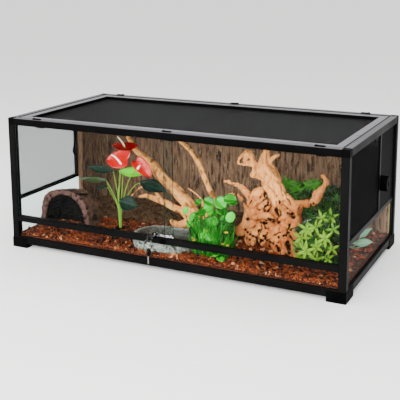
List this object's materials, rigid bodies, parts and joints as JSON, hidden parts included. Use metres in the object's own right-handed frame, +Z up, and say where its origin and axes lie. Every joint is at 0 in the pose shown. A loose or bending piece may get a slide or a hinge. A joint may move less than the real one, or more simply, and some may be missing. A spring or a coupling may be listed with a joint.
{
  "type": "reptile terrarium",
  "caption": "Long glass terrarium in a black metal frame: two sliding front doors with a lock, lift-off screen lid, screen and panel sides with cable ports, and furnishing inside.",
  "frame": {"origin": "on the surface that the feet stand on, under the middle of the whole object's width and depth (keys and thumb screws included)", "axes": "+X to the right as seen from the front, along the longest side; +Y from the front doors to the back; +Z up"},
  "size_m": [1.245, 0.6766, 0.47],
  "materials": {
    "black_frame": "black powder coat",
    "black_plastic": "matt moulded",
    "clear_glass": "clear",
    "screen": "black mesh",
    "bright_chrome": "polished",
    "key_head": "matt, with a steel blade",
    "grey_steel": "satin",
    "bark_board": "rough bark",
    "bark_chips": "rough",
    "resin": "matt, painted as bark",
    "granite": "rough",
    "leaves": "satin",
    "driftwood": "dry"
  },
  "bodies": {
    "tank": {"feet": "black_plastic", "post_front_left": "black_frame", "post_front_right": "black_frame", "post_rear_left": "black_frame", "post_rear_right": "black_frame", "bottom_rail_front": "black_frame", "bottom_rail_rear": "black_frame", "bottom_rails_side": "black_frame", "top_rail_front": "black_frame", "top_rail_rear": "black_frame", "top_rails_side": "black_frame", "top_corners": "black_plastic", "door_rail": "black_frame", "side_bars": "black_frame", "side_dividers": "black_frame", "rear_mullion": "black_frame", "front_glass": "clear_glass", "side_glass": "clear_glass", "side_screens": "screen", "side_panels": "black_plastic", "rear_glass": "clear_glass", "floor_pan": "black_plastic", "button_pins": "black_frame", "lid_guides": "black_plastic", "door_stop": "black_plastic", "port_rings": "black_plastic", "thumb_screws": "grey_steel", "background": "bark_board", "bedding": "bark_chips", "bark_chips": "bark_chips", "hide": "resin", "water_dish": "granite", "flower_base": "black_plastic", "flowering_plant": "leaves", "branch_wood": "driftwood", "stump_wood": "driftwood", "leafy_plant": "leaves", "fern_plant": "leaves", "star_plant": "leaves"},
    "front_door": {"door_left": "clear_glass", "lock_bar": "bright_chrome"},
    "rear_door": {"door_right": "clear_glass"},
    "barrel": {"lock_barrel": "bright_chrome"},
    "turning_key": {"lock_plug": "bright_chrome", "key": "key_head"},
    "ring": {"key_ring": "bright_chrome"},
    "hanging_key": {"spare_key": "key_head"},
    "lid": {"lid_bar_front": "black_frame", "lid_bar_rear": "black_frame", "lid_bars_side": "black_frame", "lid_centre_bar": "black_frame", "lid_screen": "screen"},
    "cap_left": {"port_cap_left": "black_plastic"},
    "cap_right": {"port_cap_right": "black_plastic"},
    "button_front_left": {"button_front_left": "black_plastic"},
    "button_front_centre": {"button_front_centre": "black_plastic"},
    "button_front_right": {"button_front_right": "black_plastic"},
    "button_rear_left": {"button_rear_left": "black_plastic"},
    "button_rear_centre": {"button_rear_centre": "black_plastic"},
    "button_rear_right": {"button_rear_right": "black_plastic"}
  },
  "joints": [
    {"name": "front_door_slide", "type": "slide", "parent": "tank", "child": "front_door", "axis": [1, 0, 0], "range_m": [0, 0.545]},
    {"name": "rear_door_slide", "type": "slide", "parent": "tank", "child": "rear_door", "axis": [-1, 0, 0], "range_m": [0, 0.575]},
    {"name": "barrel_slide", "type": "slide", "parent": "front_door", "child": "barrel", "axis": [1, 0, 0], "range_m": [-0.004, 0.045]},
    {"name": "key_turn", "type": "hinge", "parent": "barrel", "child": "turning_key", "pos_m": [-0.033, -0.31874, 0.1245], "axis": [0, 1, 0], "range_deg": [0, 90]},
    {"name": "ring_swing", "type": "hinge", "parent": "turning_key", "child": "ring", "pos_m": [-0.033, -0.32526, 0.11774], "axis": [1, 0, 0], "range_deg": [-60, 15]},
    {"name": "hanging_key_swing", "type": "hinge", "parent": "ring", "child": "hanging_key", "pos_m": [-0.033, -0.32526, 0.08574], "axis": [1, 0, 0], "range_deg": [-60, 15]},
    {"name": "lid_lift", "type": "slide", "parent": "tank", "child": "lid", "axis": [0, 0, 1], "range_m": [0, 0.25]},
    {"name": "button_front_left_turn", "type": "hinge", "parent": "tank", "child": "button_front_left", "pos_m": [-0.504, -0.27524, 0.4653], "axis": [0, 0, 1], "range_deg": [0, 90]},
    {"name": "button_front_centre_turn", "type": "hinge", "parent": "tank", "child": "button_front_centre", "pos_m": [0, -0.27524, 0.4653], "axis": [0, 0, 1], "range_deg": [0, 90]},
    {"name": "button_front_right_turn", "type": "hinge", "parent": "tank", "child": "button_front_right", "pos_m": [0.504, -0.27524, 0.4653], "axis": [0, 0, 1], "range_deg": [0, 90]},
    {"name": "button_rear_left_turn", "type": "hinge", "parent": "tank", "child": "button_rear_left", "pos_m": [-0.504, 0.30776, 0.4653], "axis": [0, 0, 1], "range_deg": [0, 90]},
    {"name": "button_rear_centre_turn", "type": "hinge", "parent": "tank", "child": "button_rear_centre", "pos_m": [0, 0.30776, 0.4653], "axis": [0, 0, 1], "range_deg": [0, 90]},
    {"name": "button_rear_right_turn", "type": "hinge", "parent": "tank", "child": "button_rear_right", "pos_m": [0.504, 0.30776, 0.4653], "axis": [0, 0, 1], "range_deg": [0, 90]},
    {"name": "cap_left_turn", "type": "hinge", "parent": "tank", "child": "cap_left", "pos_m": [-0.599, 0.13726, 0.265], "axis": [1, 0, 0], "continuous": true},
    {"name": "cap_right_turn", "type": "hinge", "parent": "tank", "child": "cap_right", "pos_m": [0.599, 0.13726, 0.265], "axis": [1, 0, 0], "continuous": true}
  ]
}
